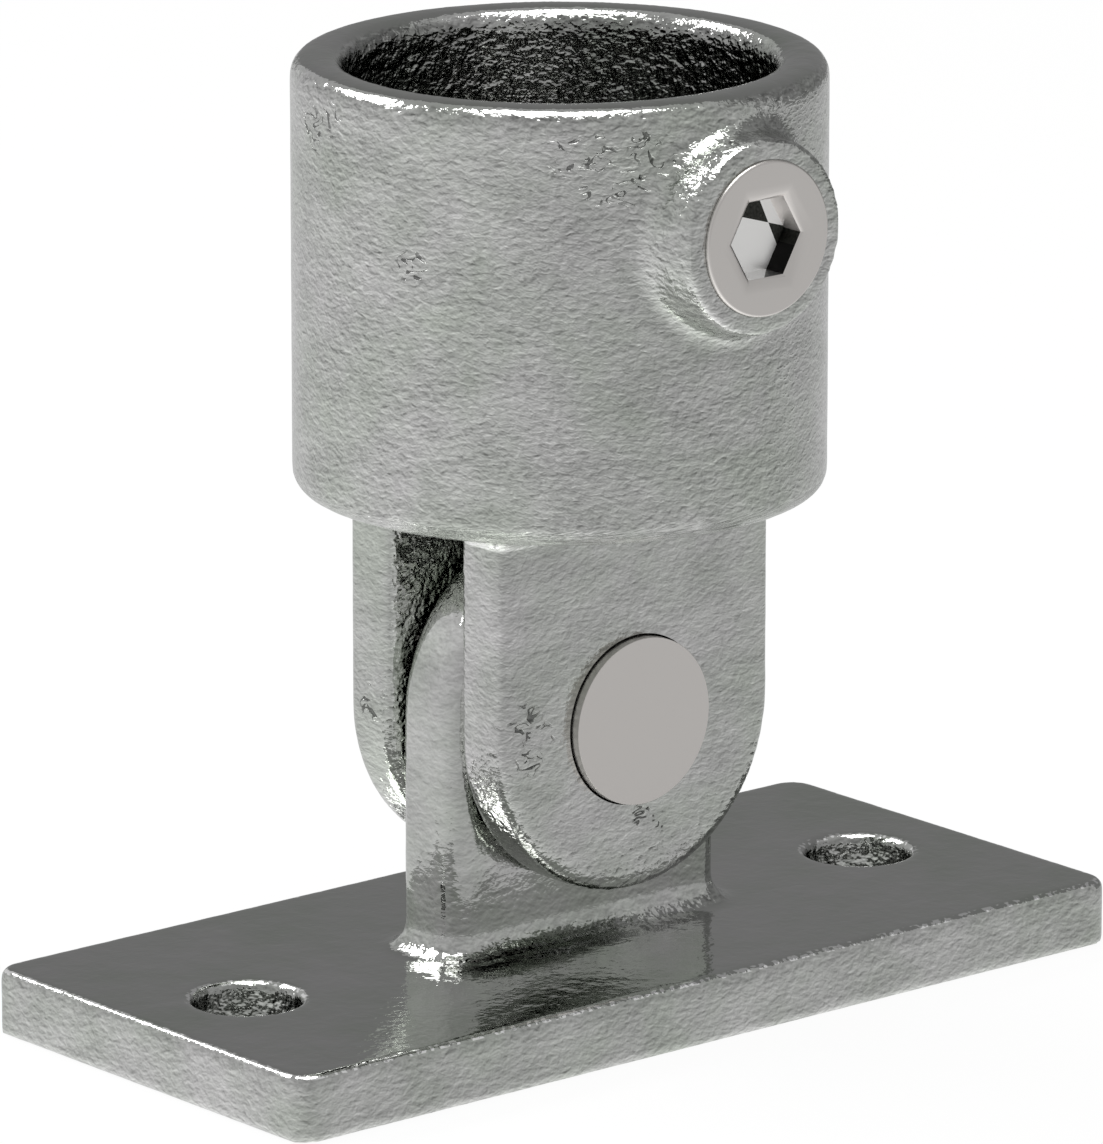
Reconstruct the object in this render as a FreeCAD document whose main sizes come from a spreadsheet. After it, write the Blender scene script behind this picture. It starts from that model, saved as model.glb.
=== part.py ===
import FreeCAD, Part
import math
import os
import Sketcher

# Swivel base flange for a 42.4 mm tube, in millimetres.
# A cast plate carries an upright tongue, a steel pin is pressed through the tongue, and a
# cast socket with two ears swings on that pin. A grub screw in the socket's boss holds the
# tube. X runs along the plate, Y across it and Z up. The origin is in the middle of the
# plate's underside, and the socket is modelled standing upright above it.

# Driving dimensions, each with what it measures
DIMENSIONS = [
    ("plate_length", 110.0, "base plate, along X"),
    ("plate_width", 51.0, "base plate, along Y"),
    ("plate_thickness", 6.9, "base plate, along Z"),
    ("plate_corner_radius", 3.0, "upright corners of the plate"),
    ("plate_edge_radius", 1.0, "upper edge of the plate"),
    ("bolt_spacing", 83.0, "from bolt hole to bolt hole"),
    ("bolt_hole_diameter", 11.0, "bolt holes, for an M10 bolt"),
    ("bolt_mouth_radius", 1.0, "upper edge of each bolt hole"),
    ("pin_height", 31.4, "pivot axis above the plate's underside"),
    ("tongue_width", 36.6, "tongue across X, twice the radius of its round top"),
    ("tongue_thickness", 9.6, "tongue along Y"),
    ("tongue_edge_radius", 3.0, "outline of the tongue"),
    ("tongue_root_radius", 2.8, "cast fillet between tongue and plate"),
    ("pin_diameter", 17.6, "pivot pin, pressed in the tongue"),
    ("pin_clearance", 0.35, "round the pin in the ears, on the radius"),
    ("pin_proud", 1.1, "pin beyond each ear"),
    ("pin_edge_chamfer", 0.2, "broken edge of the pin's ends"),
    ("cheek_clearance", 0.7, "between the tongue and each ear"),
    ("ear_thickness", 6.85, "each ear, along Y"),
    ("ear_width", 36.6, "ears across X, twice the radius of their round ends"),
    ("ear_edge_radius", 1.5, "outline of each ear"),
    ("ear_root_radius", 2.0, "cast fillet between ear and socket"),
    ("pin_to_socket", 22.6, "pivot axis to the socket's underside"),
    ("tube_diameter", 42.4, "outside of the tube that the socket takes"),
    ("tube_clearance", 0.8, "round the tube in the bore, on the radius"),
    ("socket_wall", 5.5, "wall of the socket"),
    ("socket_height", 45.2, "socket, along its axis"),
    ("socket_floor", 6.0, "floor under the tube"),
    ("socket_foot_radius", 2.0, "lower outer edge of the socket"),
    ("rim_outer_radius", 2.0, "upper outer edge of the socket"),
    ("rim_inner_radius", 2.0, "mouth of the bore"),
    ("bore_floor_radius", 1.5, "bottom corner of the bore"),
    ("screw_drop", 13.7, "screw axis below the socket's rim"),
    ("boss_diameter", 20.0, "face of the boss round the screw"),
    ("boss_draft", 9.0, "taper of the boss, in degrees"),
    ("boss_standout", 4.5, "boss face beyond the socket's wall"),
    ("boss_edge_radius", 0.5, "edge of the boss face"),
    ("boss_foot_radius", 2.1, "cast fillet between boss and socket"),
    ("screw_diameter", 16.0, "grub screw over its thread crests"),
    ("screw_clearance", 0.1, "round the screw in its hole, on the radius"),
    ("screw_proud", 0.45, "screw end beyond the boss face"),
    ("screw_tip_setback", 0.4, "screw point short of the bore"),
    ("screw_edge_radius", 0.3, "outer edge of the screw's driven end"),
    ("screw_point_chamfer", 1.4, "outer edge of the screw's point"),
    ("cup_diameter", 9.0, "hollow in the screw's point"),
    ("cup_depth", 1.2, "hollow in the screw's point"),
    ("hex_across_flats", 8.0, "key recess in the screw"),
    ("hex_depth", 2.8, "key recess in the screw"),
    ("hex_mouth_chamfer", 0.8, "bevel round the key recess"),
]

doc = FreeCAD.newDocument("swivel_base_flange")
sheet = doc.addObject("Spreadsheet::Sheet", "dims")
for row, (alias, value, meaning) in enumerate(DIMENSIONS, start=1):
    sheet.set(f"A{row}", alias.replace("_", " "))
    sheet.set(f"B{row}", str(value))
    sheet.set(f"C{row}", meaning)
    sheet.setAlias(f"B{row}", alias)

# Sizes that follow from the driving ones
FOLLOWING = [
    ("tongue_radius", "=tongue_width / 2"),
    ("ear_radius", "=ear_width / 2"),
    ("fork_gap", "=tongue_thickness + 2 * cheek_clearance"),
    ("fork_thickness", "=fork_gap + 2 * ear_thickness"),
    ("pin_length", "=fork_thickness + 2 * pin_proud"),
    ("pin_hole_diameter", "=pin_diameter + 2 * pin_clearance"),
    ("bore_diameter", "=tube_diameter + 2 * tube_clearance"),
    ("socket_diameter", "=bore_diameter + 2 * socket_wall"),
    ("socket_top", "=pin_to_socket + socket_height"),
    ("bore_floor", "=pin_to_socket + socket_floor"),
    ("bore_depth", "=socket_height - socket_floor"),
    ("screw_height", "=socket_top - screw_drop"),
    ("screw_hole_diameter", "=screw_diameter + 2 * screw_clearance"),
    ("boss_reach", "=socket_diameter / 2 + boss_standout"),
    ("boss_length", "=boss_standout + socket_wall"),
    ("screw_reach", "=boss_reach + screw_proud"),
    ("screw_length", "=screw_reach - bore_diameter / 2 - screw_tip_setback"),
    ("hex_corner_radius", "=hex_across_flats / sqrt(3)"),
]
for row, (alias, formula) in enumerate(FOLLOWING, start=len(DIMENSIONS) + 2):
    sheet.set(f"A{row}", alias.replace("_", " "))
    sheet.set(f"B{row}", formula)
    sheet.setAlias(f"B{row}", alias)
    doc.recompute()

NEAR = 0.001


def dim(alias):
    return float(sheet.get(alias))


def add_body(label):
    body = doc.addObject("PartDesign::Body", label)
    body.Label = label
    return body


def add_sketch(body, plane_role, name, height=None):
    """Add a sketch on one of the body's planes, lifted along its normal if a height is given."""
    sketch = body.newObject("Sketcher::SketchObject", name)
    plane = next(f for f in body.Origin.OriginFeatures if f.Role == plane_role)
    sketch.AttachmentSupport = (plane, [""])
    sketch.MapMode = "FlatFace"
    if height:
        sketch.setExpression("AttachmentOffset.Base.z", f"dims.{height}")
    return sketch


def at(x, y):
    return FreeCAD.Vector(x, y, 0)


def drive(sketch, constraint, formula):
    """Add a dimension to a sketch and bind it to the sheet."""
    index = sketch.addConstraint(constraint)
    sketch.renameConstraint(index, f"size{index}")
    sketch.setExpression(f"Constraints.size{index}", formula)


def draw_outline(sketch, corners):
    """Draw a closed outline of straight lines, and hold the level and upright ones so."""
    ends = corners[1:] + corners[:1]
    lines = [
        sketch.addGeometry(Part.LineSegment(at(*start), at(*end)), False)
        for start, end in zip(corners, ends)
    ]
    for line, following in zip(lines, lines[1:] + lines[:1]):
        sketch.addConstraint(Sketcher.Constraint("Coincident", line, 2, following, 1))
    for line, start, end in zip(lines, corners, ends):
        if abs(start[1] - end[1]) < NEAR:
            sketch.addConstraint(Sketcher.Constraint("Horizontal", line))
        elif abs(start[0] - end[0]) < NEAR:
            sketch.addConstraint(Sketcher.Constraint("Vertical", line))
    return lines


def draw_circle(sketch, diameter, x=None, y=None, sign=1):
    """Draw a circle at aliases of the sheet, or on an axis where a place isn't given."""
    centre_x = sign * dim(x) / 2 if x else 0
    centre_y = dim(y) if y else 0
    round_edge = Part.Circle(at(centre_x, centre_y), FreeCAD.Vector(0, 0, 1), dim(diameter) / 2)
    circle = sketch.addGeometry(round_edge, False)
    drive(sketch, Sketcher.Constraint("Diameter", circle, dim(diameter)), f"dims.{diameter}")
    if x:
        across = (-1, 1, circle, 3) if sign > 0 else (circle, 3, -1, 1)
        drive(sketch, Sketcher.Constraint("DistanceX", *across, abs(centre_x)), f"dims.{x} / 2")
    else:
        sketch.addConstraint(Sketcher.Constraint("PointOnObject", circle, 3, -2))
    if y:
        drive(sketch, Sketcher.Constraint("DistanceY", -1, 1, circle, 3, centre_y), f"dims.{y}")
    else:
        sketch.addConstraint(Sketcher.Constraint("PointOnObject", circle, 3, -1))
    return circle


def draw_tab(sketch, radius, centre, base, base_formula, round_end_up):
    """Draw a flat-sided tab, closed by a half circle about a centre on the upright axis."""
    half = dim(radius)
    sweep = (0, math.pi) if round_end_up else (math.pi, 2 * math.pi)
    round_edge = Part.Circle(at(0, centre), FreeCAD.Vector(0, 0, 1), half)
    left = sketch.addGeometry(Part.LineSegment(at(-half, base), at(-half, centre)), False)
    arc = sketch.addGeometry(Part.ArcOfCircle(round_edge, *sweep), False)
    right = sketch.addGeometry(Part.LineSegment(at(half, centre), at(half, base)), False)
    foot = sketch.addGeometry(Part.LineSegment(at(half, base), at(-half, base)), False)
    arc_left, arc_right = (2, 1) if round_end_up else (1, 2)
    sketch.addConstraint(Sketcher.Constraint("Tangent", left, 2, arc, arc_left))
    sketch.addConstraint(Sketcher.Constraint("Tangent", arc, arc_right, right, 1))
    sketch.addConstraint(Sketcher.Constraint("Coincident", right, 2, foot, 1))
    sketch.addConstraint(Sketcher.Constraint("Coincident", foot, 2, left, 1))
    sketch.addConstraint(Sketcher.Constraint("Horizontal", foot))
    sketch.addConstraint(Sketcher.Constraint("Vertical", left))
    sketch.addConstraint(Sketcher.Constraint("Vertical", right))
    sketch.addConstraint(Sketcher.Constraint("PointOnObject", arc, 3, -2))
    drive(sketch, Sketcher.Constraint("Radius", arc, half), f"dims.{radius}")
    drive(sketch, Sketcher.Constraint("DistanceY", -1, 1, foot, 1, base), base_formula)
    return arc


def extrude(body, kind, sketch, name, length=None, symmetric=False, flip=False):
    """Pad or pocket a sketch by a length of the sheet, or right through if none is given."""
    feature = body.newObject(f"PartDesign::{kind}", name)
    feature.Profile = sketch
    feature.SideType = "Symmetric" if symmetric else "One side"
    feature.Reversed = flip
    if length:
        feature.setExpression("Length", f"dims.{length}")
    else:
        feature.Type = "ThroughAll"
    before = feature.BaseFeature.Shape.Volume if feature.BaseFeature else 0
    doc.recompute()
    grown = feature.Shape.Volume - before
    if grown * (1 if kind == "Pad" else -1) <= 0:
        raise ValueError(f"{name} changes nothing")
    return feature


def dress(body, kind, name, size, belongs):
    """Fillet or chamfer the edges of the body's last feature that a test picks out."""
    base = body.Tip
    names = [f"Edge{n}" for n, edge in enumerate(base.Shape.Edges, start=1) if belongs(edge)]
    if not names:
        raise ValueError(f"{name} finds no edge")
    feature = body.newObject(f"PartDesign::{kind}", name)
    feature.Base = (base, names)
    feature.setExpression("Radius" if kind == "Fillet" else "Size", f"dims.{size}")
    doc.recompute()
    return feature


def middle(edge):
    return edge.valueAt((edge.FirstParameter + edge.LastParameter) / 2)


def is_ring(edge, radius, axis, height):
    """Tell whether an edge is a circle of this radius, at this height along this axis."""
    if edge.Curve.TypeId != "Part::GeomCircle" or abs(edge.Curve.Radius - radius) > NEAR:
        return False
    lengthways = abs(edge.Curve.Axis.dot(axis)) > 1 - NEAR
    return lengthways and abs(edge.Curve.Center.dot(axis) - height) < NEAR


def on_outline(edge, offset, limit, above):
    """Tell whether an edge lies in a plane at this offset in Y and reaches past a level."""
    box = edge.BoundBox
    if box.YLength > NEAR or abs(abs(box.YMin) - offset) > NEAR:
        return False
    return box.ZMax > limit + NEAR if above else box.ZMin < limit - NEAR


def at_root(edge, level, half_width, inner, outer):
    """Tell whether an edge lies level within a foot that spans these distances from Y = 0."""
    box = edge.BoundBox
    if box.ZLength > NEAR or abs(box.ZMin - level) > NEAR:
        return False
    near_side = min(abs(box.YMin), abs(box.YMax)) if box.YMin * box.YMax > 0 else 0
    far_side = max(abs(box.YMin), abs(box.YMax))
    inside = near_side > inner - NEAR and far_side < outer + NEAR
    return inside and max(abs(box.XMin), abs(box.XMax)) < half_width + NEAR


X = FreeCAD.Vector(1, 0, 0)
Y = FreeCAD.Vector(0, 1, 0)
Z = FreeCAD.Vector(0, 0, 1)

# Base flange: one casting of plate and tongue, bored for the pin and drilled for two bolts
base = add_body("base_flange")
half_length = dim("plate_length") / 2
half_width = dim("plate_width") / 2
plate_top = dim("plate_thickness")
tongue_side = dim("tongue_thickness") / 2

outline = add_sketch(base, "XY_Plane", "plate_outline")
sides = draw_outline(outline, [
    (-half_length, -half_width),
    (half_length, -half_width),
    (half_length, half_width),
    (-half_length, half_width),
])
front, right, back, left = sides
outline.addConstraint(Sketcher.Constraint("Symmetric", front, 1, right, 2, -1, 1))
drive(outline, Sketcher.Constraint("DistanceX", front, 1, front, 2, 2 * half_length),
      "dims.plate_length")
drive(outline, Sketcher.Constraint("DistanceY", right, 1, right, 2, 2 * half_width),
      "dims.plate_width")
extrude(base, "Pad", outline, "plate", "plate_thickness")


def is_plate_corner(edge):
    box = edge.BoundBox
    upright = box.XLength < NEAR and box.YLength < NEAR
    return upright and abs(box.XMin) > half_length - NEAR


dress(base, "Fillet", "plate_corners", "plate_corner_radius", is_plate_corner)

profile = add_sketch(base, "XZ_Plane", "tongue_outline")
crown = draw_tab(profile, "tongue_radius", dim("pin_height"), plate_top / 2,
                 "dims.plate_thickness / 2", round_end_up=True)
drive(profile, Sketcher.Constraint("DistanceY", -1, 1, crown, 3, dim("pin_height")),
      "dims.pin_height")
extrude(base, "Pad", profile, "tongue", "tongue_thickness", symmetric=True)
dress(base, "Fillet", "tongue_edges", "tongue_edge_radius",
      lambda edge: on_outline(edge, tongue_side, plate_top, above=True))
dress(base, "Fillet", "tongue_root", "tongue_root_radius",
      lambda edge: at_root(edge, plate_top, dim("tongue_radius"), 0, tongue_side))


def is_plate_rim(edge):
    box = edge.BoundBox
    if box.ZLength > NEAR or abs(box.ZMin - plate_top) > NEAR:
        return False
    inset = dim("plate_corner_radius") + NEAR
    return all(
        abs(end.X) > half_length - inset and abs(end.Y) > half_width - inset
        for end in edge.Vertexes
    )


dress(base, "Fillet", "plate_rim", "plate_edge_radius", is_plate_rim)

pin_seat = add_sketch(base, "XZ_Plane", "pin_seat_circle")
draw_circle(pin_seat, "pin_diameter", y="pin_height")
extrude(base, "Pocket", pin_seat, "pin_seat", symmetric=True)

bolt_circles = add_sketch(base, "XY_Plane", "bolt_circles")
for sign in (-1, 1):
    draw_circle(bolt_circles, "bolt_hole_diameter", x="bolt_spacing", sign=sign)
extrude(base, "Pocket", bolt_circles, "bolt_holes", flip=True)
dress(base, "Fillet", "bolt_mouths", "bolt_mouth_radius",
      lambda edge: is_ring(edge, dim("bolt_hole_diameter") / 2, Z, plate_top))

# Socket fork: one casting of blind tube socket, screw boss and two ears, made about the
# pin's axis, then drilled for the pin and the screw
fork = add_body("socket_fork")
bore_radius = dim("bore_diameter") / 2
socket_radius = dim("socket_diameter") / 2
boss_radius = dim("boss_diameter") / 2
underside = dim("pin_to_socket")
gap_side = dim("fork_gap") / 2
ear_side = dim("fork_thickness") / 2

socket_circle = add_sketch(fork, "XY_Plane", "socket_circle", height="pin_to_socket")
draw_circle(socket_circle, "socket_diameter")
extrude(fork, "Pad", socket_circle, "socket", "socket_height")

boss_circle = add_sketch(fork, "XZ_Plane", "boss_circle", height="boss_reach")
draw_circle(boss_circle, "boss_diameter", y="screw_height")
boss = extrude(fork, "Pad", boss_circle, "boss", "boss_length", flip=True)
boss.setExpression("TaperAngle", "dims.boss_draft")
doc.recompute()


def is_boss_foot(edge):
    place = middle(edge)
    from_boss = math.hypot(place.x, place.z - dim("screw_height"))
    from_socket = math.hypot(place.x, place.y)
    return from_boss < 1.5 * boss_radius and abs(from_socket - socket_radius) < NEAR


dress(fork, "Fillet", "boss_foot", "boss_foot_radius", is_boss_foot)
dress(fork, "Fillet", "boss_edge", "boss_edge_radius",
      lambda edge: is_ring(edge, boss_radius, Y, -dim("boss_reach")))

ear_profile = add_sketch(fork, "XZ_Plane", "ear_outline")
end_round = draw_tab(ear_profile, "ear_radius", 0, underside + dim("socket_floor") / 2,
                     "dims.pin_to_socket + dims.socket_floor / 2", round_end_up=False)
ear_profile.addConstraint(Sketcher.Constraint("PointOnObject", end_round, 3, -1))
extrude(fork, "Pad", ear_profile, "ears", "fork_thickness", symmetric=True)

slot = add_sketch(fork, "XZ_Plane", "slot_outline")
slot_bottom = -dim("ear_width")
slot_lines = draw_outline(slot, [
    (-dim("ear_width"), slot_bottom),
    (dim("ear_width"), slot_bottom),
    (dim("ear_width"), underside),
    (-dim("ear_width"), underside),
])
drive(slot, Sketcher.Constraint("DistanceX", slot_lines[0], 1, -1, 1, dim("ear_width")),
      "dims.ear_width")
drive(slot, Sketcher.Constraint("DistanceX", -1, 1, slot_lines[0], 2, dim("ear_width")),
      "dims.ear_width")
drive(slot, Sketcher.Constraint("DistanceY", slot_lines[0], 1, -1, 1, -slot_bottom),
      "dims.ear_width")
drive(slot, Sketcher.Constraint("DistanceY", -1, 1, slot_lines[2], 1, underside),
      "dims.pin_to_socket")
extrude(fork, "Pocket", slot, "slot", "fork_gap", symmetric=True)


def is_ear_outline(edge):
    return any(on_outline(edge, side, underside, above=False) for side in (gap_side, ear_side))


dress(fork, "Fillet", "ear_edges", "ear_edge_radius", is_ear_outline)
dress(fork, "Fillet", "ear_roots", "ear_root_radius",
      lambda edge: at_root(edge, underside, dim("ear_radius"), gap_side, ear_side))
dress(fork, "Fillet", "socket_foot", "socket_foot_radius",
      lambda edge: is_ring(edge, socket_radius, Z, underside))

bore_circle = add_sketch(fork, "XY_Plane", "bore_circle", height="socket_top")
draw_circle(bore_circle, "bore_diameter")
extrude(fork, "Pocket", bore_circle, "bore", "bore_depth")
dress(fork, "Fillet", "bore_corner", "bore_floor_radius",
      lambda edge: is_ring(edge, bore_radius, Z, dim("bore_floor")))
dress(fork, "Fillet", "bore_mouth", "rim_inner_radius",
      lambda edge: is_ring(edge, bore_radius, Z, dim("socket_top")))
dress(fork, "Fillet", "rim", "rim_outer_radius",
      lambda edge: is_ring(edge, socket_radius, Z, dim("socket_top")))

screw_circle = add_sketch(fork, "XZ_Plane", "screw_circle")
draw_circle(screw_circle, "screw_hole_diameter", y="screw_height")
extrude(fork, "Pocket", screw_circle, "screw_hole", flip=True)

pin_circle = add_sketch(fork, "XZ_Plane", "pin_hole_circle")
draw_circle(pin_circle, "pin_hole_diameter")
extrude(fork, "Pocket", pin_circle, "pin_holes", symmetric=True)

# Pivot pin: plain turned steel with both edges broken
pin = add_body("pivot_pin")
pin_section = add_sketch(pin, "XZ_Plane", "pin_section")
draw_circle(pin_section, "pin_diameter")
extrude(pin, "Pad", pin_section, "pin", "pin_length", symmetric=True)
dress(pin, "Chamfer", "pin_ends", "pin_edge_chamfer",
      lambda edge: edge.Curve.TypeId == "Part::GeomCircle")

# Grub screw: turned about Y from its driven end, with a cup point and a hexagonal recess
screw = add_body("grub_screw")
screw_radius = dim("screw_diameter") / 2
screw_length = dim("screw_length")
point_chamfer = dim("screw_point_chamfer")

section = add_sketch(screw, "XY_Plane", "screw_section")
end, flank, point_bevel, point_ring, cup_wall, centre_line = draw_outline(section, [
    (0, 0),
    (screw_radius, 0),
    (screw_radius, screw_length - point_chamfer),
    (screw_radius - point_chamfer, screw_length),
    (dim("cup_diameter") / 2, screw_length),
    (0, screw_length - dim("cup_depth")),
])
section.addConstraint(Sketcher.Constraint("Coincident", end, 1, -1, 1))
drive(section, Sketcher.Constraint("DistanceX", end, 1, end, 2, screw_radius),
      "dims.screw_diameter / 2")
drive(section, Sketcher.Constraint("DistanceY", end, 1, point_ring, 1, screw_length),
      "dims.screw_length")
drive(section, Sketcher.Constraint("DistanceY", point_bevel, 1, point_bevel, 2, point_chamfer),
      "dims.screw_point_chamfer")
drive(section, Sketcher.Constraint("DistanceX", point_bevel, 2, point_bevel, 1, point_chamfer),
      "dims.screw_point_chamfer")
drive(section, Sketcher.Constraint("DistanceX", cup_wall, 2, cup_wall, 1, dim("cup_diameter") / 2),
      "dims.cup_diameter / 2")
drive(section, Sketcher.Constraint("DistanceY", cup_wall, 2, cup_wall, 1, dim("cup_depth")),
      "dims.cup_depth")
turned = screw.newObject("PartDesign::Revolution", "turned_body")
turned.Profile = section
turned.ReferenceAxis = (section, ["V_Axis"])
doc.recompute()
dress(screw, "Fillet", "driven_edge", "screw_edge_radius",
      lambda edge: is_ring(edge, screw_radius, Y, 0))

hexagon = add_sketch(screw, "XZ_Plane", "hexagon")
corner_radius = dim("hex_corner_radius")
hex_corners = [
    (corner_radius * math.cos(math.radians(turn)), corner_radius * math.sin(math.radians(turn)))
    for turn in range(0, 360, 60)
]
flats = draw_outline(hexagon, hex_corners)
guide = hexagon.addGeometry(Part.Circle(at(0, 0), FreeCAD.Vector(0, 0, 1), corner_radius), True)
hexagon.addConstraint(Sketcher.Constraint("Coincident", guide, 3, -1, 1))
for flat in flats:
    hexagon.addConstraint(Sketcher.Constraint("PointOnObject", flat, 1, guide))
for flat in flats[2:6]:
    hexagon.addConstraint(Sketcher.Constraint("Equal", flats[1], flat))
drive(hexagon, Sketcher.Constraint("Radius", guide, corner_radius), "dims.hex_corner_radius")
extrude(screw, "Pocket", hexagon, "key_recess", "hex_depth")


def is_hex_mouth(edge):
    box = edge.BoundBox
    return edge.Curve.TypeId == "Part::GeomLine" and abs(box.YMin) + abs(box.YMax) < NEAR


dress(screw, "Chamfer", "recess_mouth", "hex_mouth_chamfer", is_hex_mouth)

# Places: the fork and the pin lie on the pivot axis, the screw in the fork's boss
fork.setExpression("Placement.Base.z", "dims.pin_height")
pin.setExpression("Placement.Base.z", "dims.pin_height")
screw.setExpression("Placement.Base.y", "-dims.screw_reach")
screw.setExpression("Placement.Base.z", "dims.pin_height + dims.screw_height")
doc.recompute()

for item in doc.Objects:
    if {"Invalid", "Error"} & set(item.State):
        raise ValueError(f"{item.Label} failed: {item.State}")
    if item.TypeId == "Sketcher::SketchObject" and not item.FullyConstrained:
        raise ValueError(f"{item.Label} isn't fully constrained")

os.makedirs("parts", exist_ok=True)
bodies = [base, fork, pin, screw]
for body in bodies:
    if body.Shape.isNull() or not body.Shape.isValid() or len(body.Shape.Solids) != 1:
        raise ValueError(f"{body.Label} isn't one valid solid")
for body in bodies:
    body.Shape.exportStep(f"parts/{body.Label}.step")
    box = body.Shape.optimalBoundingBox(False, False)
    print(f"{body.Label}: {body.Shape.Volume:.0f} mm3, "
          f"X {box.XMin:.2f} to {box.XMax:.2f}, Y {box.YMin:.2f} to {box.YMax:.2f}, "
          f"Z {box.ZMin:.2f} to {box.ZMax:.2f}")
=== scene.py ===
import bpy
import math
from mathutils import Matrix, Vector


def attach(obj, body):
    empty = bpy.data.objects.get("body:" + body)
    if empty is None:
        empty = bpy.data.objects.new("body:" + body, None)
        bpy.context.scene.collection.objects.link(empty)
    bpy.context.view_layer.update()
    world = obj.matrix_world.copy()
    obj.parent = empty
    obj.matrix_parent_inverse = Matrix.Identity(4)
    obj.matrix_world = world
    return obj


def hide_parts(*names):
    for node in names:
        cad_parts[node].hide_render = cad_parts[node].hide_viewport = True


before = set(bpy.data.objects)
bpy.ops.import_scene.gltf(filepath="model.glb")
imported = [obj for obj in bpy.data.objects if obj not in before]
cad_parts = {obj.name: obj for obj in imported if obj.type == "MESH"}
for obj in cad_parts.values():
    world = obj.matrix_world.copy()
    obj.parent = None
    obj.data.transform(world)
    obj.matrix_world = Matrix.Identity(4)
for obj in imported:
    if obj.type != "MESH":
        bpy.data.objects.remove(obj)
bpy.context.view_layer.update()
MM = 0.001

# Camera: a long lens at the photograph's angle, from the front left and a little above. Its
# place and its aim, in metres, were fitted to the plate's corners and to the round edges.
LENS = 337.6
SENSOR_WIDTH = 36
CAMERA_PLACE = (-0.6889, -0.8177, 0.3283)
CAMERA_AIM = (-0.000642, 0.000540, 0.044505)
NEAR_CLIP = 0.05
FAR_CLIP = 30
camera_data = bpy.data.cameras.new("camera")
camera_data.lens = LENS
camera_data.sensor_width = SENSOR_WIDTH
camera_data.clip_start = NEAR_CLIP
camera_data.clip_end = FAR_CLIP
camera = bpy.data.objects.new("camera", camera_data)
bpy.context.scene.collection.objects.link(camera)
camera.location = CAMERA_PLACE
camera.rotation_mode = "QUATERNION"
camera.rotation_quaternion = (Vector(CAMERA_AIM) - camera.location).to_track_quat("-Z", "Y")
bpy.context.scene.camera = camera
bpy.context.scene.view_settings.view_transform = "Standard"


# Studio: a white paper floor in a white surround, a square softbox overhead, a wide one high
# at the back left, and a grey flag at the back right, which the flat tops reflect. Mirror
# reflections see no floor, and a surround that is brighter below and at the lower left.
FLOOR_SIZE = 8
PAPER_COLOUR = (0.74, 0.74, 0.735, 1)
PAPER_GLOW = 1.04
PAPER_GLOW_SHARE = 0.9
FILL_LEVEL = 0.3
MIRROR_SCALE = 0.65
MIRROR_BASE = 0.98
BELOW_WIDE = 0.45
BELOW_NARROW = 1.1
LOWER_LEFT = (-0.66, 0.54, -0.52)
LOWER_LEFT_GLOW = 0.4
SOFTBOX_AIM = (0, 0, 0.05)
FLAG_GREY = (0.235, 0.235, 0.235, 1)


def studio_plane(name, size_x, size_y, location, direction):
    """A flat sheet of the studio, turned to face a direction."""
    bpy.ops.object.select_all(action="DESELECT")
    bpy.ops.mesh.primitive_plane_add(size=1, location=(0, 0, 0))
    sheet = bpy.context.object
    sheet.name = name
    turn = Vector(direction).to_track_quat("Z", "Y").to_matrix().to_4x4()
    stretch = Matrix.Diagonal((size_x, size_y, 1, 1))
    sheet.data.transform(Matrix.Translation(location) @ turn @ stretch)
    return sheet


def softbox(name, size, location, radiance):
    """A rectangular lamp aimed at the object and unseen by the camera."""
    lamp_data = bpy.data.lights.new(name, "AREA")
    lamp_data.shape = "RECTANGLE"
    lamp_data.size, lamp_data.size_y = size
    lamp_data.energy = radiance * math.pi * size[0] * size[1]
    lamp = bpy.data.objects.new(name, lamp_data)
    bpy.context.scene.collection.objects.link(lamp)
    lamp.location = location
    direction = Vector(SOFTBOX_AIM) - lamp.location
    lamp.rotation_mode = "QUATERNION"
    lamp.rotation_quaternion = direction.to_track_quat("-Z", "Y")
    lamp.visible_camera = False


def empty_tree(owner):
    """The node tree of a material or a world, cleared."""
    owner.use_nodes = True
    owner.node_tree.nodes.clear()
    return owner.node_tree


def add_node(tree, kind, inputs=None, **settings):
    """Add a node. inputs gives its sockets values or the outputs of other nodes."""
    node = tree.nodes.new("ShaderNode" + kind)
    for setting, value in settings.items():
        setattr(node, setting, value)
    for socket, value in (inputs or {}).items():
        if isinstance(value, bpy.types.NodeSocket):
            tree.links.new(value, node.inputs[socket])
        else:
            node.inputs[socket].default_value = value
    return node


def maths(tree, operation, first, second=0.0):
    return add_node(tree, "Math", {0: first, 1: second}, operation=operation).outputs[0]


def times(tree, first, *others):
    """The product of several values or node outputs."""
    for other in others:
        first = maths(tree, "MULTIPLY", first, other)
    return first


floor = studio_plane("floor", FLOOR_SIZE, FLOOR_SIZE, location=(0, 0, 0),
                     direction=(0, 0, 1))
white_paper = bpy.data.materials.new("white_paper")
paper = empty_tree(white_paper)
matt = add_node(paper, "BsdfDiffuse", {"Color": PAPER_COLOUR})
glow = add_node(paper, "Emission", {"Color": (1, 1, 1, 1), "Strength": PAPER_GLOW})
rays = add_node(paper, "LightPath").outputs
share = times(paper, rays["Is Camera Ray"], PAPER_GLOW_SHARE)
blend = add_node(paper, "MixShader", {0: share, 1: matt.outputs[0], 2: glow.outputs[0]})
add_node(paper, "OutputMaterial", {"Surface": blend.outputs[0]})
floor.data.materials.append(white_paper)
floor.visible_glossy = False

bpy.context.scene.world = bpy.data.worlds.new("white_surround")
surround = empty_tree(bpy.context.scene.world)
way = add_node(surround, "TexCoord").outputs["Generated"]


def glow_towards(direction):
    """How far the surround's own direction points along another, from 0 to 1."""
    along = add_node(surround, "VectorMath", {0: way, 1: direction}, operation="DOT_PRODUCT")
    return maths(surround, "MAXIMUM", along.outputs["Value"], 0)


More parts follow.
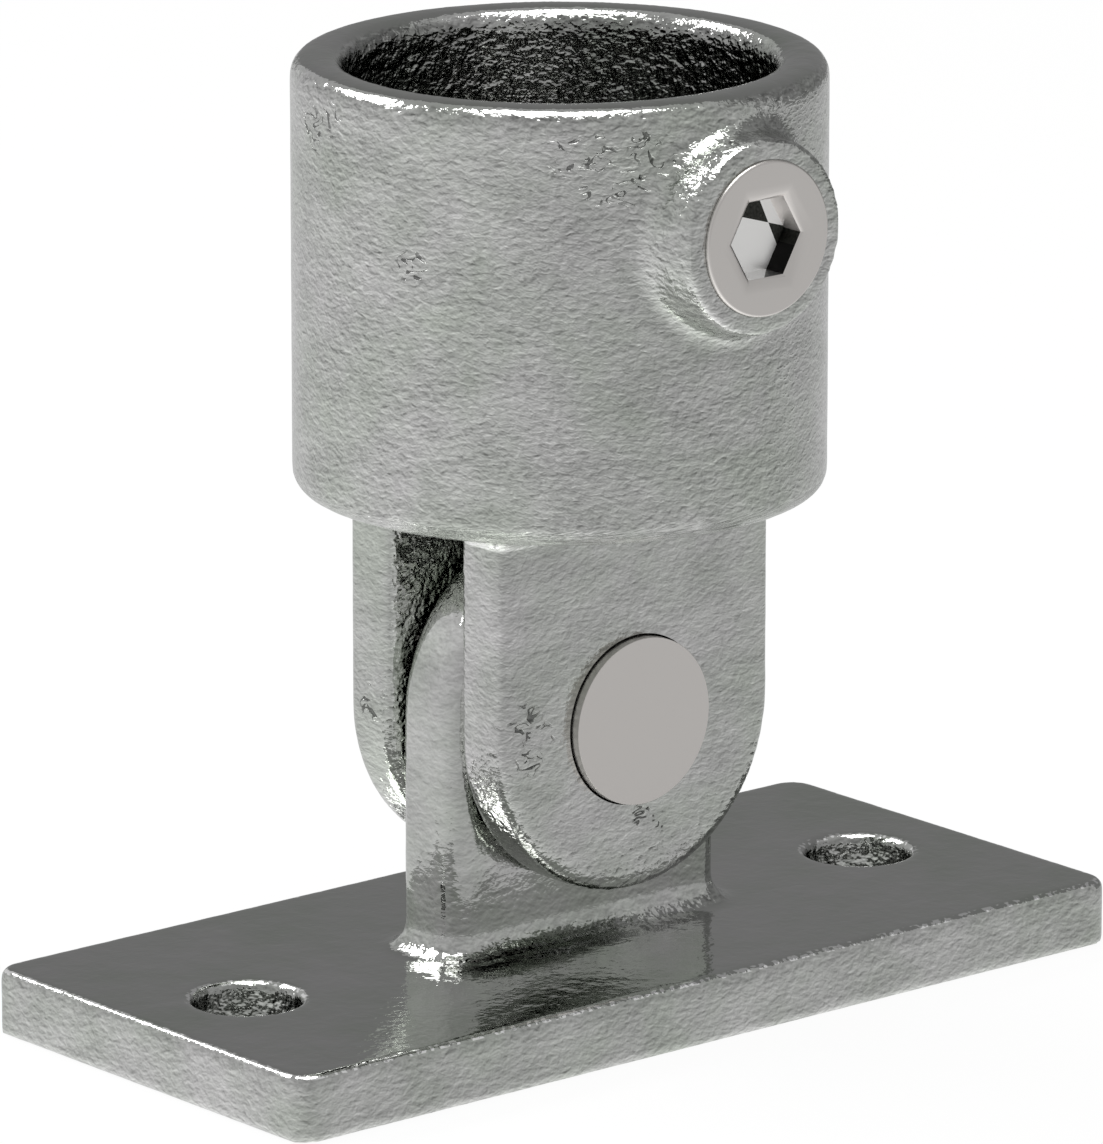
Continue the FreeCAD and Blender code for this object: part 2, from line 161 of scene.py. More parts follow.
down = glow_towards((0, 0, -1))
below = maths(surround, "ADD", times(surround, down, BELOW_WIDE),
              times(surround, maths(surround, "POWER", down, 3), BELOW_NARROW))
left = times(surround, glow_towards(LOWER_LEFT), LOWER_LEFT_GLOW)
mirror_sum = maths(surround, "ADD", maths(surround, "ADD", below, left), MIRROR_BASE)
mirrored = add_node(surround, "Background",
                    {"Strength": times(surround, mirror_sum, MIRROR_SCALE)})
fill = add_node(surround, "Background", {"Strength": FILL_LEVEL})
seen = add_node(surround, "Background")
rays = add_node(surround, "LightPath").outputs
lighting = add_node(surround, "MixShader",
                    {0: rays["Is Glossy Ray"], 1: fill.outputs[0], 2: mirrored.outputs[0]})
in_sight = maths(surround, "MAXIMUM", rays["Is Camera Ray"], rays["Is Transmission Ray"])
whole = add_node(surround, "MixShader",
                 {0: in_sight, 1: lighting.outputs[0], 2: seen.outputs[0]})
add_node(surround, "OutputWorld", {"Surface": whole.outputs[0]})

softbox("softbox_overhead", size=(0.68, 0.68), location=(-0.05, -0.02, 1.05), radiance=4.2)
softbox("softbox_left", size=(0.72, 0.36), location=(-0.31, 0.76, 0.88), radiance=6.0)

flag = studio_plane("flag", size_x=2.1, size_y=1.45, location=(0.91, 0.36, 0.70),
                    direction=(-0.94, -0.34, 0))
grey_flag = bpy.data.materials.new("grey_flag")
cloth = empty_tree(grey_flag)
grey = add_node(cloth, "Emission", {"Color": FLAG_GREY, "Strength": 1.0})
add_node(cloth, "OutputMaterial", {"Surface": grey.outputs[0]})
flag.data.materials.append(grey_flag)
flag.visible_camera = False
flag.visible_diffuse = False
flag.visible_shadow = False


# Base flange: one hot-dip galvanised casting of plate and tongue, drilled for two bolts and
# bored for the pin. It starts as the CAD node's own shape, remade in even quads that carry the
# slight waviness of sand-cast iron, and its pin bore is cut clean again afterwards.
PLATE_TOP = 6.9 * MM
BOLT_SPACING = 83 * MM
BOLT_HOLE_RADIUS = 5.5 * MM
TONGUE_THICKNESS = 9.6 * MM
TONGUE_SHOULDER = (-14 * MM, 0, 41 * MM)
ALONG_PIN = (0, 1, 0)

TONGUE_STOPPER_MARGIN = 0.6 * MM
PLATE_VOXEL = 0.42 * MM
CASTING_SWELL = 2.2 * MM
CASTING_SWELL_DEPTH = 0.045 * MM
MERGE_DISTANCE = 1e-7
FACET_ANGLE = math.radians(40)
ROUND_SIDES = 96
FINE_SIDES = 160

# The zinc. Scales are in waves per metre and the slant in radians. Contrasts, shares and tones
# are factors. A second copy of the fine waves, shifted by LIT_FROM towards the light and
# subtracted, paints each wave's light and dark side into the colour.
WAVE_SCALE = 950
WAVE_SLANT = 0.6
LIT_FROM = (-0.09 * MM, -0.05 * MM, 0.20 * MM)
SOCKET_CONTRAST = 2.1
EAR_CONTRAST = 1.6
PATCH_SCALE = 150
PATCH_CONTRAST = 0.09
SWELL_SCALE = 330
SWELL_DEPTH = 0.10 * MM
SWELL_SHARE = 0.9
PITTING_SCALE = 750
PITTING_DEPTH = 0.45 * MM
FOOT_PITTING = 0.4
FURROW_SCALE = 420
FURROW_BREAK_SCALE = 520
FURROW_DEPTH = 0.15 * MM
GRADING_HEIGHT = 4 * MM
ZINC_ROUGHNESS = 0.04
MARKED_ROUGHNESS = 0.2
FURROW_ROUGHNESS = 0.2
EDGE_SPECK_SCALE = 1500
TINT_SCALE = 85
ZINC_TONES = (
    (0.34, (0.485, 0.510, 0.470, 1)),
    (0.50, (0.522, 0.532, 0.512, 1)),
    (0.68, (0.560, 0.556, 0.553, 1)),
)
# Painted light between the ears, a painted highlight on the lip, painted shade in the furrows
# and a stripe of painted light up the bore, as factors on the colour
SLOT_PAINTED_LIGHT = 1.25
LIP_PAINTED_HIGHLIGHT = 1.8
FURROW_PAINTED_SHADE = 0.35
STRIPE_PAINTED_LIGHT = 0.4
STRIPE_ACROSS = (0.765, -0.644, 0)
STRIPE_OFFSET = 4.7 * MM


def node_box(node):
    """The lowest and the highest corner of a CAD node."""
    corners = [vertex.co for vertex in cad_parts[node].data.vertices]
    low = Vector([min(corner[axis] for corner in corners) for axis in range(3)])
    high = Vector([max(corner[axis] for corner in corners) for axis in range(3)])
    return low, high


def select_only(piece):
    bpy.ops.object.select_all(action="DESELECT")
    bpy.context.view_layer.objects.active = piece
    piece.select_set(True)


def modify(piece, kind, **settings):
    """Add a modifier to a piece and apply it."""
    select_only(piece)
    modifier = piece.modifiers.new(kind.lower(), kind)
    for setting, value in settings.items():
        setattr(modifier, setting, value)
    bpy.ops.object.modifier_apply(modifier=modifier.name)


def bevel(piece, width, segments):
    """Round a piece's sharp edges."""
    modify(piece, "BEVEL", width=width, segments=segments, limit_method="ANGLE",
           angle_limit=FACET_ANGLE)


def shade_smooth(piece, angle=FACET_ANGLE):
    select_only(piece)
    bpy.ops.object.shade_smooth_by_angle(angle=angle)


def casting_copy(name, node):
    """A copy of the CAD node's mesh with its doubled corners merged."""
    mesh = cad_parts[node].data.copy()
    mesh.materials.clear()
    piece = bpy.data.objects.new(name, mesh)
    bpy.context.scene.collection.objects.link(piece)
    select_only(piece)
    bpy.ops.object.mode_set(mode="EDIT")
    bpy.ops.mesh.select_all(action="SELECT")
    bpy.ops.mesh.remove_doubles(threshold=MERGE_DISTANCE)
    bpy.ops.object.mode_set(mode="OBJECT")
    return piece


def cylinder(name, radius, length, middle, sides=ROUND_SIDES):
    """A cylinder that lies along Y, as the pin and the screw do."""
    bpy.ops.object.select_all(action="DESELECT")
    bpy.ops.mesh.primitive_cylinder_add(vertices=sides, radius=radius, depth=length)
    piece = bpy.context.object
    piece.name = name
    turn = Vector(ALONG_PIN).to_track_quat("Z", "Y").to_matrix().to_4x4()
    piece.data.transform(Matrix.Translation(middle) @ turn)
    return piece


def combine(piece, other, operation):
    """Join another solid to a piece, or cut it away, and drop the other."""
    modify(piece, "BOOLEAN", operation=operation, solver="EXACT", object=other)
    bpy.data.objects.remove(other)


def fill_hole(piece, radius, length, middle):
    """Close a hole before the mesh is remade, so that it can be cut clean afterwards."""
    stopper = cylinder("stopper", radius, length, middle)
    select_only(piece)
    stopper.select_set(True)
    bpy.ops.object.join()


def cut_hole(piece, radius, length, middle):
    combine(piece, cylinder("drill", radius, length, middle, sides=FINE_SIDES), "DIFFERENCE")


def cast_surface(piece, voxel):
    """Remake a piece in even quads, soften its edges a little and give it a slight waviness."""
    modify(piece, "REMESH", mode="VOXEL", voxel_size=voxel, use_smooth_shade=True)
    modify(piece, "SMOOTH", factor=0.5, iterations=3)
    waves = bpy.data.textures.new(piece.name + "_waves", "CLOUDS")
    waves.noise_scale = CASTING_SWELL
    modify(piece, "DISPLACE", texture=waves, texture_coords="LOCAL",
           strength=CASTING_SWELL_DEPTH, mid_level=0.5)


def zinc_skin(name, wave_depth, flat_share, low_part, level_top, hollows, hollow_painted_shade,
              cleft=0.0, marks=(), edge_highlight_specks=0.0, light_and_shade_spots=()):
    """Hot-dip zinc over sand-cast iron: bright grey, mottled, with a fine wavy relief.

    wave_depth is the relief's depth, and flat_share how much of it the flat top keeps. The
    light and dark sides of the waves are painted light and shade in the colour. Below the
    height low_part the waves slant, and just above it a band of painted highlight runs along
    the lip. level_top is the height of a flat top, where the zinc drained smooth. hollows are
    upright holes (x, y, radius, lowest, highest), which stay rough, and hollow_painted_shade
    darkens them with painted shade. cleft is half the gap between the ears, where painted light
    lightens the zinc. marks are places (x, y, z, size) where gas left worm-like furrows, which
    painted shade darkens. edge_highlight_specks is how bright the specks of painted highlight
    along the flat top's edges are. blushes are places (x, y, z, size, tone) where painted light
    or painted shade makes the zinc lighter or darker.
    """
    material = bpy.data.materials.new(name)
    tree = empty_tree(material)
    place = add_node(tree, "TexCoord").outputs["Object"]
    axes = add_node(tree, "SeparateXYZ", {0: place}).outputs
    height = axes["Z"]

    def vector(operation, first, second, output="Vector"):
        node = add_node(tree, "VectorMath", {0: first, 1: second}, operation=operation)
        return node.outputs[output]

    def scaled(first, factor):
        node = add_node(tree, "VectorMath", {0: first, "Scale": factor}, operation="SCALE")
        return node.outputs["Vector"]

    def ramp(value, low, high, bottom=0.0, top=1.0):
        inputs = dict(enumerate((value, low, high, bottom, top)))
        return add_node(tree, "MapRange", inputs, interpolation_type="SMOOTHSTEP").outputs[0]

    def layer(base, *offsets):
        """A mask of heights: where it starts, is full, fades and ends, in mm above base."""
        start, full, fade, end = [base + offset * MM for offset in offsets]
        return times(tree, ramp(height, start, full), ramp(height, fade, end, 1.0, 0.0))

    def noise(scale, detail, roughness=0.5, distortion=0.0, squash=1.0, turn=(0, 0, 0),
              at=place):
        """Cloud noise, squash times as fine upwards as it is sideways."""
        mapped = add_node(tree, "Mapping",
                          {"Vector": at, "Scale": (1, 1, squash), "Rotation": turn})
        field = add_node(tree, "TexNoise",
                         {"Vector": mapped.outputs[0], "Scale": scale, "Detail": detail,
                          "Roughness": roughness, "Distortion": distortion})
        return field.outputs["Fac"]

    # Masks of the flat top, the bead at its foot, the socket's lower lip, which gets a painted
    # highlight, and the part below
    uneven = maths(tree, "SUBTRACT", 1.0, layer(level_top, -0.7, -0.2, 0.1, 0.6))
    foot = layer(level_top, 0.05, 0.3, 1.2, 2.2)
    calm = ramp(height, level_top + 0.6 * MM, level_top + 3 * MM, 1.0, 0.6)
    lip = layer(low_part, -0.1, 0.2, 0.5, 1.2)
    grading = ramp(height, low_part, low_part + GRADING_HEIGHT, 1.0, 0.0)

    # Inside the upright holes the zinc is rough, and darker with painted shade
    inside = 0.0
    for x, y, radius, lowest, highest in hollows:
        offset = vector("MULTIPLY", vector("SUBTRACT", place, (x, y, 0)), (1, 1, 0))
        from_axis = vector("LENGTH", offset, (0, 0, 0), "Value")
        within = ramp(from_axis, radius + 0.1 * MM, radius + 0.8 * MM, 1.0, 0.0)
        over = ramp(height, lowest - 0.5 * MM, lowest + 0.5 * MM)
        under = ramp(height, highest - 0.8 * MM, highest, 1.0, 0.0)
        inside = maths(tree, "MAXIMUM", inside, times(tree, within, over, under))

    # Between the ears the zinc is lighter with painted light
    in_slot = 0.0
    rough = maths(tree, "MAXIMUM", inside, times(tree, foot, FOOT_PITTING))
    if cleft:
        off_centre = maths(tree, "ABSOLUTE", axes["Y"])
        between = ramp(off_centre, cleft + 0.1 * MM, cleft + 0.5 * MM, 1.0, 0.0)
        in_slot = times(tree, between, grading)
        rough = maths(tree, "MAXIMUM", inside, in_slot)

    # Furrows: broken contour lines of a slow noise, near the marks only, darkened by painted
    # shade
    near_mark = 0.0
    for x, y, z, size in marks:
        away = vector("DISTANCE", place, (x, y, z), "Value")
        near_mark = maths(tree, "MAXIMUM", near_mark, ramp(away, 0.55 * size, size, 1.0, 0.0))
    slow = noise(FURROW_SCALE, detail=1.2, distortion=0.8, squash=1.6)
    contour = maths(tree, "ABSOLUTE", maths(tree, "SUBTRACT", slow, 0.5))
    broken = ramp(noise(FURROW_BREAK_SCALE, detail=1), 0.42, 0.47)
    furrow = times(tree, near_mark, ramp(contour, 0.014, 0.038, 1.0, 0.0), broken)

    # Colour: a slow tint, times painted light and shade on the waves, random patches and the
    # masks' painted light and shade
    lean = scaled((0, 1, 0), times(tree, grading, WAVE_SLANT))
    waves, waves_above = [
        noise(WAVE_SCALE, detail=2.2, roughness=0.55, distortion=0.3, squash=1.8, turn=lean,
              at=vector("ADD", place, shift))
        for shift in ((0, 0, 0), LIT_FROM)
    ]
    contrast = times(tree, calm, ramp(grading, 0.0, 1.0, SOCKET_CONTRAST, EAR_CONTRAST))
    relief_light = times(tree, maths(tree, "SUBTRACT", waves, waves_above), contrast)
    clouds = noise(PATCH_SCALE, detail=3, roughness=0.55, distortion=0.4, squash=2.0)
    patches = ramp(clouds, 0.3, 0.7, -PATCH_CONTRAST, PATCH_CONTRAST)
    painted_relief_and_patches = times(tree, maths(tree, "ADD", relief_light, patches), uneven)
    shade = maths(tree, "ADD", painted_relief_and_patches, 1.0)
    # Painted shade in the hollows and furrows, painted light between the ears and a painted
    # highlight on the lip
    for mask, tone in ((inside, hollow_painted_shade), (in_slot, SLOT_PAINTED_LIGHT), (lip, LIP_PAINTED_HIGHLIGHT),
                       (furrow, FURROW_PAINTED_SHADE)):
        shade = times(tree, shade, ramp(mask, 0.0, 1.0, 1.0, tone))
    # A stripe of painted light up the bore's far wall
    across = vector("DOT_PRODUCT", place, STRIPE_ACROSS, "Value")
    off_stripe = maths(tree, "ABSOLUTE", maths(tree, "ADD", across, STRIPE_OFFSET))
    stripe = times(tree, inside, ramp(off_stripe, 2.5 * MM, 6 * MM, STRIPE_PAINTED_LIGHT, 0.0))
    shade = times(tree, shade, maths(tree, "ADD", stripe, 1.0))
    # Specks of painted highlight along the flat top's edges
    if edge_highlight_specks:
        edge = layer(level_top, -0.45, -0.3, -0.12, -0.02)
        grains = noise(EDGE_SPECK_SCALE, detail=1)
        specks = times(tree, edge, ramp(grains, 0.51, 0.60, 0.0, edge_highlight_specks))
        shade = times(tree, shade, maths(tree, "ADD", specks, 1.0))
    # Spots of painted light or painted shade
    for x, y, z, size, tone in light_and_shade_spots:
        away = vector("DISTANCE", place, (x, y, z), "Value")
        shade = times(tree, shade, ramp(away, 0.3 * size, size, tone, 1.0))
    tint = add_node(tree, "ValToRGB", {0: noise(TINT_SCALE, detail=3, roughness=0.6)})
    tint.color_ramp.elements.new(0.5)
    for stop, (position, tone) in zip(tint.color_ramp.elements, ZINC_TONES):
        stop.position = position
        stop.color = tone
    roughness = maths(tree, "ADD", ramp(near_mark, 0.0, 1.0, ZINC_ROUGHNESS, MARKED_ROUGHNESS),
                      times(tree, furrow, FURROW_ROUGHNESS))

    # Relief: swell, waves, pitting and furrows, each a bump on top of the one before
    swell = noise(SWELL_SCALE, detail=2, distortion=0.4)
    pitting = noise(PITTING_SCALE, detail=2, roughness=0.6)
    wave_strength = times(tree, calm, ramp(uneven, 0.0, 1.0, flat_share, 1.0))
    relief = None
    for field, depth, strength in (
        (swell, SWELL_DEPTH, times(tree, calm, SWELL_SHARE)),
        (waves, wave_depth, wave_strength),
        (pitting, PITTING_DEPTH, rough),
        (furrow, -FURROW_DEPTH, 1.0),
    ):
        inputs = {"Distance": abs(depth), "Strength": strength, "Height": field}
        if relief:
            inputs["Normal"] = relief
        relief = add_node(tree, "Bump", inputs, invert=depth < 0).outputs[0]

    metal = add_node(tree, "BsdfPrincipled",
                     {"Metallic": 1.0, "Base Color": scaled(tint.outputs[0], shade),
                      "Roughness": roughness, "Normal": relief})
    add_node(tree, "OutputMaterial", {"Surface": metal.outputs[0]})
    return material


pin_low, pin_high = node_box("pivot_pin")
pin_radius = (pin_high.x - pin_low.x) / 2
pin_middle = (pin_low + pin_high) / 2
flange_top = node_box("base_flange")[1].z

flange = casting_copy("base_flange_cast", "base_flange")
fill_hole(flange, pin_radius + TONGUE_STOPPER_MARGIN, TONGUE_THICKNESS, pin_middle)
cast_surface(flange, PLATE_VOXEL)
cut_hole(flange, pin_radius, 2 * TONGUE_THICKNESS, pin_middle)
# On the flange: painted shade in the bolt holes, specks of painted highlight on the plate's top
# edges and a spot of painted highlight on the tongue's shoulder
flange.data.materials.append(zinc_skin(
    "zinc_on_flange", wave_depth=0.06 * MM, flat_share=0.9, low_part=flange_top,
    level_top=PLATE_TOP, hollow_painted_shade=0.7, edge_highlight_specks=1.8,
    hollows=[(side * BOLT_SPACING / 2, 0, BOLT_HOLE_RADIUS, -PLATE_TOP, PLATE_TOP)
             for side in (-1, 1)],
    light_and_shade_spots=[(*TONGUE_SHOULDER, 6 * MM, 1.35)],
))
shade_smooth(flange)
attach(flange, "base")
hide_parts("base_flange")


# Socket fork: one hot-dip galvanised casting of blind tube socket, screw boss and two ears,
# drilled for the pin and tapped for the grub screw. Gas has left a few worm-like furrows in
# its skin, most of them near the boss and beside the pin.
FORK_VOXEL = 0.54 * MM
EAR_STOPPER_MARGIN = 0.7 * MM
SCREW_STOPPER_MARGIN = 0.5 * MM
EAR_THICKNESS = 6.85 * MM
EAR_TOP = 52 * MM
BORE_RADIUS = 22 * MM
BORE_FLOOR = 60 * MM
PIN_STANDS_OUT = 1.1 * MM
PIN_GAP = 0.2 * MM
THREAD_GAP = 0.03 * MM
SCREW_DRILL_LENGTH = 20 * MM
BOSS_ROOT_PAINTED_SHADE = 0.86

# Places and sizes in mm
FURROWS = (
    (-26.3, -8.1, 82.3, 2.2),
    (-26.4, 7.2, 93.8, 3.0), (-27.3, 3.5, 95.4, 2.2),
    (-17.0, -21.5, 94.6, 2.6), (-14.6, -23.2, 94.8, 2.4), (-10.4, -25.5, 95.3, 2.2),
    (-14.5, -23.4, 91.5, 2.4), (-11.8, -24.8, 91.2, 2.4), (-8.6, -26.1, 93.7, 1.8),
    (-15.0, -12.3, 33.6, 2.6), (-13.0, -12.3, 31.6, 2.2), (-14.4, -12.3, 29.8, 2.2),
    (0.7, -12.3, 21.0, 1.6), (2.6, -12.3, 19.8, 1.4),
    (-18.3, 8.4, 32.0, 2.4),
)
# Spots of painted shade on the boss's root fillet, places and sizes in mm
BOSS_ROOT = ((-8.4, -27.2, 78.4, 5), (-5.3, -28.0, 75.8, 5), (-2.0, -28.4, 74.4, 5))

fork_low, fork_high = node_box("socket_fork")
screw_low, screw_high = node_box("grub_screw")
screw_radius = (screw_high.x - screw_low.x) / 2
screw_middle = (screw_low + screw_high) / 2
ear_outside = pin_high.y - PIN_STANDS_OUT
boss_face = fork_low.y

fork = casting_copy("socket_fork_cast", "socket_fork")
for side in (-1, 1):
    ear_middle = pin_middle + Vector((0, side * (ear_outside - EAR_THICKNESS / 2), 0))
    fill_hole(fork, pin_radius + EAR_STOPPER_MARGIN, EAR_THICKNESS, ear_middle)
screw_hole_middle = Vector((0, (boss_face + screw_high.y) / 2, screw_middle.z))
fill_hole(fork, screw_radius + SCREW_STOPPER_MARGIN, screw_high.y - boss_face,
          screw_hole_middle)
cast_surface(fork, FORK_VOXEL)
cut_hole(fork, pin_radius + PIN_GAP, 4 * ear_outside, pin_middle)
cut_hole(fork, screw_radius + THREAD_GAP, SCREW_DRILL_LENGTH, screw_middle)
# On the fork: painted shade in the bore and at the boss's root, painted light between the ears
# and a painted highlight along the socket's lower lip
fork.data.materials.append(zinc_skin(
    "zinc_on_fork", wave_depth=0.14 * MM, flat_share=0.4, low_part=EAR_TOP,
    level_top=fork_high.z, hollow_painted_shade=0.58, cleft=ear_outside - EAR_THICKNESS,
    hollows=[(0, 0, BORE_RADIUS, BORE_FLOOR, fork_high.z)],
    marks=[[measure * MM for measure in mark] for mark in FURROWS],
    light_and_shade_spots=[[measure * MM for measure in spot] + [BOSS_ROOT_PAINTED_SHADE] for spot in BOSS_ROOT],
))
shade_smooth(fork)
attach(fork, "socket")
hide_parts("socket_fork")


# Pivot pin: a plain turned steel pin, zinc plated, pressed through the tongue. Both ends are
# faced flat with a broken edge.
PIN_EDGE = 0.06 * MM
PLATING_COLOUR = (0.735, 0.707, 0.682)
SPECK_SCALE = 3500


def plated_steel(name, roughness, colour=PLATING_COLOUR, shade_paint=None, planes=(), tilt=None):
    """Smooth electroplated zinc, slightly warm.

    planes are (direction, distance) pairs. Where the distances beyond them multiply to more
    than zero, the plating has the speckled colour dull instead, a painted shade. tilt is the
    direction that the drill's cone gives a nearly flat floor.
    """
    material = bpy.data.materials.new(name)
    tree = empty_tree(material)
    metal = add_node(tree, "BsdfPrincipled",
                     {"Metallic": 1.0, "Base Color": (*colour, 1), "Roughness": roughness})
    add_node(tree, "OutputMaterial", {"Surface": metal.outputs[0]})
    if tilt:
        outward = add_node(tree, "VectorTransform", {0: tilt}, vector_type="NORMAL",
                           convert_from="OBJECT", convert_to="WORLD")
        tree.links.new(outward.outputs[0], metal.inputs["Normal"])
    if not shade_paint:
        return material

    def mix(factor, first, second):
        # Sockets 6 and 7 are the two colours, and output 2 is the mixed one
        node = add_node(tree, "Mix", {"Factor": factor, 6: first, 7: second}, data_type="RGBA")
        return node.outputs[2]

    place = add_node(tree, "TexCoord").outputs["Object"]
    side = 1.0
    for direction, distance in planes:
        along = add_node(tree, "VectorMath", {0: place, 1: direction}, operation="DOT_PRODUCT")
        beyond = maths(tree, "SUBTRACT", along.outputs["Value"], distance)
        side = times(tree, side, beyond)
    specks = add_node(tree, "TexNoise", {"Vector": place, "Scale": SPECK_SCALE, "Detail": 2})
    brightest = [2 * part for part in shade_paint]
    speckled = mix(specks.outputs["Fac"], (0, 0, 0, 1), (*brightest, 1))
    skin = mix(maths(tree, "GREATER_THAN", side, 0), (*colour, 1), speckled)
    tree.links.new(skin, metal.inputs["Base Color"])
    return material


pin = cylinder("pivot_pin_turned", pin_radius, pin_high.y - pin_low.y, pin_middle,
               sides=FINE_SIDES)
bevel(pin, PIN_EDGE, segments=3)
pin.data.materials.append(plated_steel("plated_pin", roughness=0.35))
shade_smooth(pin)
modify(pin, "WEIGHTED_NORMAL", keep_sharp=True)
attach(pin, "base")
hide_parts("pivot_pin")


# Grub screw: a plated steel set screw with a rolled thread, a hexagonal key recess with a
# bevelled mouth, and a cup point. Its driven end stands just proud of the boss.
COLLAR_LENGTH = 0.9 * MM
COLLAR_EDGE = 0.3 * MM
POINT_EDGE = 0.9 * MM
CUP_RADIUS = 4.5 * MM
CUP_DEPTH = 1.2 * MM

THREAD_DEPTH = 1.05 * MM
THREAD_PITCH = 2.0 * MM
THREAD_TURNS = 3
THREAD_STEPS = 64
CREST_HALF_WIDTH = 0.12 * MM
ROOT_HALF_WIDTH = 0.88 * MM
CREST_SETBACK = 0.02 * MM
ROOT_OVERLAP = 0.05 * MM

# The mouth's bevel is three cones, each a width beyond the hexagon and a depth
HEX_CORNER = 8.0 * MM / math.sqrt(3)
HEX_DEPTH = 3.05 * MM
MOUTH_CONES = ((1.4 * MM, 0.20 * MM), (1.0 * MM, 0.34 * MM), (0.6 * MM, 0.48 * MM))
MOUTH_DEPTH = 0.5 * MM
SCREW_FACET_ANGLE = math.radians(25)

# Colours of the recess's fields, its painted light and painted shade, and in mm the points
# where they part
SPECKLED_PAINTED_SHADE = (0.040, 0.041, 0.037)
FLOOR_PAINTED_LIGHT = (0.98, 0.975, 0.96)
FLOOR_TILT = (-0.342, -0.94, 0)
LIT_PAINTED_LIGHT = (0.95, 0.92, 0.90)
BLACK_PAINTED_SHADE = (0.012, 0.012, 0.012)
LOW_PAINTED_LIGHT = (0.95, 0.95, 0.945)
LOW_SPECKLED_PAINTED_SHADE = (0.14, 0.14, 0.135)
FLOOR_CORNER = (2.57, 3.05, 0.79)
LOW_CORNER = (2.31, 3.05, -4.0)
DARK_HEIGHT = (0, 0, -1.3)

face = screw_low.y
tip = screw_high.y
core_radius = screw_radius - THREAD_DEPTH
lay_down = Matrix.Rotation(math.radians(-90), 4, "X")


def on_screw_axis(y):
    return Vector((0, y, screw_middle.z))


def cutter(name, sides, start_radius, end_radius, start, end):
    """A plug or cone along the screw's axis. With six sides, two corners are level with it."""
    bpy.ops.object.select_all(action="DESELECT")
    bpy.ops.mesh.primitive_cone_add(vertices=sides, radius1=start_radius, radius2=end_radius,
                                    depth=end - start)
    piece = bpy.context.object
    piece.name = name
    corner_turn = Matrix.Rotation(math.radians(30), 4, "Z")
    middle = on_screw_axis((start + end) / 2)
    piece.data.transform(Matrix.Translation(middle) @ lay_down @ corner_turn)
    return piece


screw = cylinder("grub_screw_threaded", screw_radius, COLLAR_LENGTH,
                 on_screw_axis(face + COLLAR_LENGTH / 2), sides=FINE_SIDES)
bevel(screw, COLLAR_EDGE, segments=4)
core = cylinder("core", core_radius, tip - face - 0.5 * COLLAR_LENGTH,
                on_screw_axis((face + tip) / 2 + COLLAR_LENGTH / 4))
bevel(core, POINT_EDGE, segments=2)
combine(screw, core, "UNION")

# The thread is a four-cornered outline wound up the core, with its two ends closed
bpy.ops.object.select_all(action="DESELECT")
bpy.ops.mesh.primitive_plane_add(size=1)
thread = bpy.context.object
thread.name = "thread"
bpy.ops.object.mode_set(mode="EDIT")
bpy.ops.mesh.delete(type="ONLY_FACE")
bpy.ops.object.mode_set(mode="OBJECT")
for vertex in thread.data.vertices:
    if vertex.co.x > 0:
        radius, half_width = screw_radius - CREST_SETBACK, CREST_HALF_WIDTH
    else:
        radius, half_width = core_radius - ROOT_OVERLAP, ROOT_HALF_WIDTH
    vertex.co = (radius, 0, half_width if vertex.co.y > 0 else -half_width)
modify(thread, "SCREW", axis="Z", angle=2 * math.pi, screw_offset=THREAD_PITCH,
       iterations=THREAD_TURNS, steps=THREAD_STEPS, render_steps=THREAD_STEPS,
       use_merge_vertices=False)
select_only(thread)
bpy.ops.object.mode_set(mode="EDIT")
bpy.ops.mesh.select_mode(type="EDGE")
bpy.ops.mesh.select_all(action="DESELECT")
bpy.ops.mesh.select_non_manifold()
bpy.ops.mesh.edge_face_add()
bpy.ops.mesh.select_all(action="SELECT")
bpy.ops.mesh.normals_make_consistent(inside=False)
bpy.ops.object.mode_set(mode="OBJECT")
thread_start = on_screw_axis(face + COLLAR_LENGTH + 0.5 * THREAD_PITCH)
thread.data.transform(Matrix.Translation(thread_start) @ lay_down)
combine(screw, thread, "UNION")

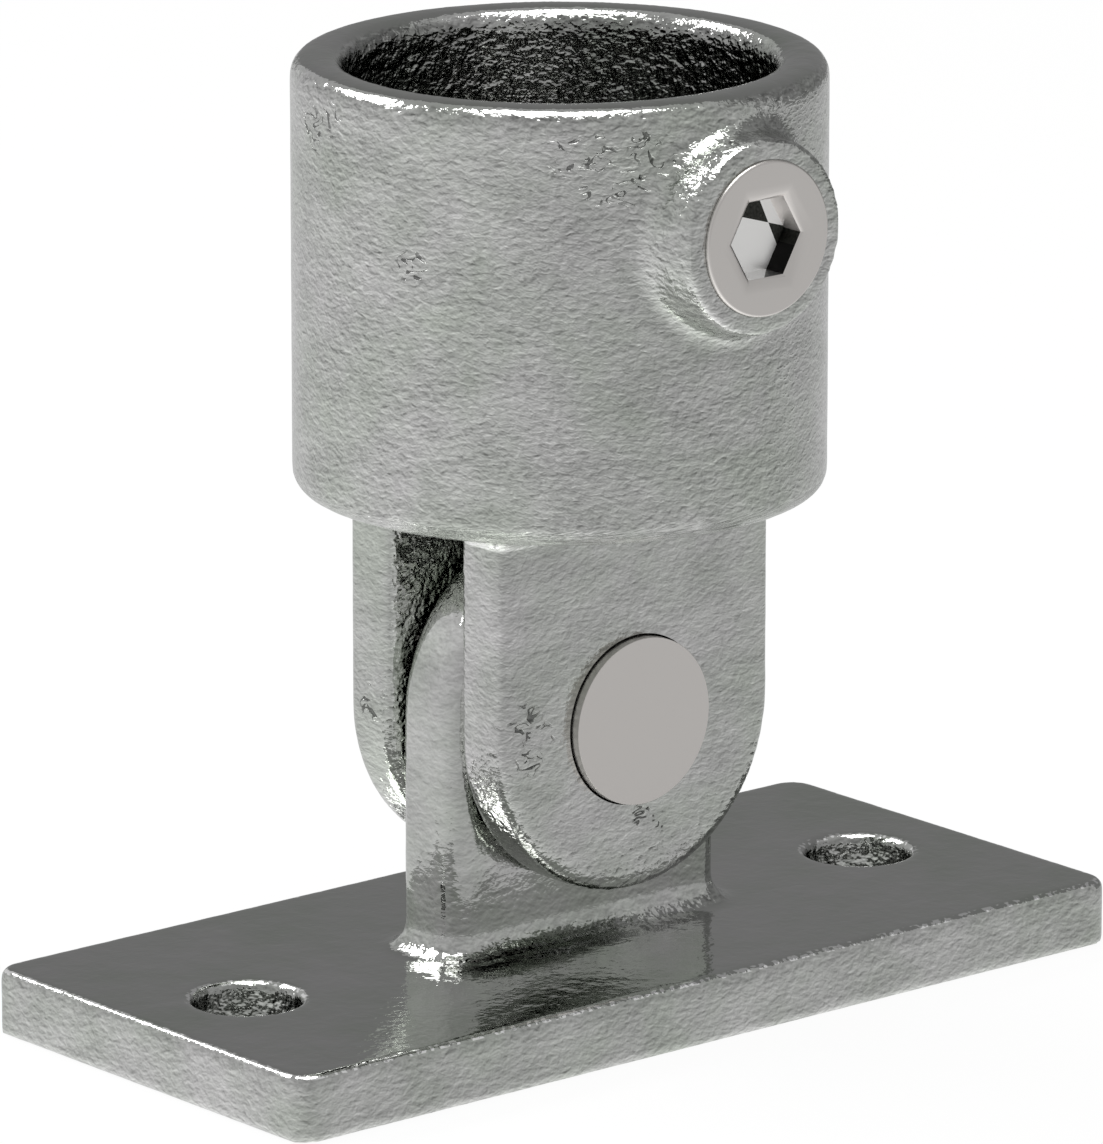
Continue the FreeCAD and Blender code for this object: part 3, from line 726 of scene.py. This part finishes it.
combine(screw, cutter("recess", 6, HEX_CORNER, HEX_CORNER, face - 1 * MM, face + HEX_DEPTH),
        "DIFFERENCE")
for width, depth in MOUTH_CONES:
    mouth = cutter("mouth", 6, HEX_CORNER + 4 * width / math.sqrt(3), HEX_CORNER,
                   face - depth, face + depth)
    combine(screw, mouth, "DIFFERENCE")
cup = cutter("cup", ROUND_SIDES, 0, 2 * CUP_RADIUS, tip - CUP_DEPTH, tip + CUP_DEPTH)
combine(screw, cup, "DIFFERENCE")


def plane(direction, point):
    """A plane square to a direction, through a point in mm from the screw's axis and face."""
    middle = Vector((point[0] * MM, face + point[1] * MM, screw_middle.z + point[2] * MM))
    return direction, Vector(direction).dot(middle)


# Plain plating, then the recess's floor and walls with their painted light and painted shade
for skin in (
    plated_steel("plated_screw", roughness=0.3),
    plated_steel("recess_floor", 0.35, FLOOR_PAINTED_LIGHT, SPECKLED_PAINTED_SHADE,
                 [plane((-0.305, 0, -1), FLOOR_CORNER), plane((0.905, 0, 0.425), FLOOR_CORNER)],
                 FLOOR_TILT),
    plated_steel("recess_painted_light", 0.5, LIT_PAINTED_LIGHT),
    plated_steel("recess_painted_shade", 0.5, BLACK_PAINTED_SHADE, SPECKLED_PAINTED_SHADE, [plane((0, 0, 1), DARK_HEIGHT)]),
    plated_steel("recess_low_painted_light", 0.5, LOW_PAINTED_LIGHT, LOW_SPECKLED_PAINTED_SHADE,
                 [plane((0.718, -0.696, 0), LOW_CORNER)]),
):
    screw.data.materials.append(skin)

# The recess's walls are told apart by where they stand around the screw's axis, in degrees, and
# each takes its painted light or painted shade
FLOOR_SKIN, LIT_SKIN, DARK_SKIN, LOW_SKIN = 1, 2, 3, 4
for polygon in screw.data.polygons:
    across, up = polygon.center.x, polygon.center.z - screw_middle.z
    depth = polygon.center.y - face
    if math.hypot(across, up) < HEX_CORNER and MOUTH_DEPTH < depth < HEX_DEPTH + 0.1 * MM:
        turn = math.degrees(math.atan2(-polygon.normal.z, -polygon.normal.x)) % 360
        if abs(polygon.normal.y) > 0.5:
            polygon.material_index = FLOOR_SKIN
        elif turn > 300:
            polygon.material_index = DARK_SKIN
        elif turn > 240:
            polygon.material_index = LOW_SKIN
        else:
            polygon.material_index = LIT_SKIN
shade_smooth(screw, SCREW_FACET_ANGLE)
modify(screw, "WEIGHTED_NORMAL", keep_sharp=True)
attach(screw, "screw")
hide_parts("grub_screw")
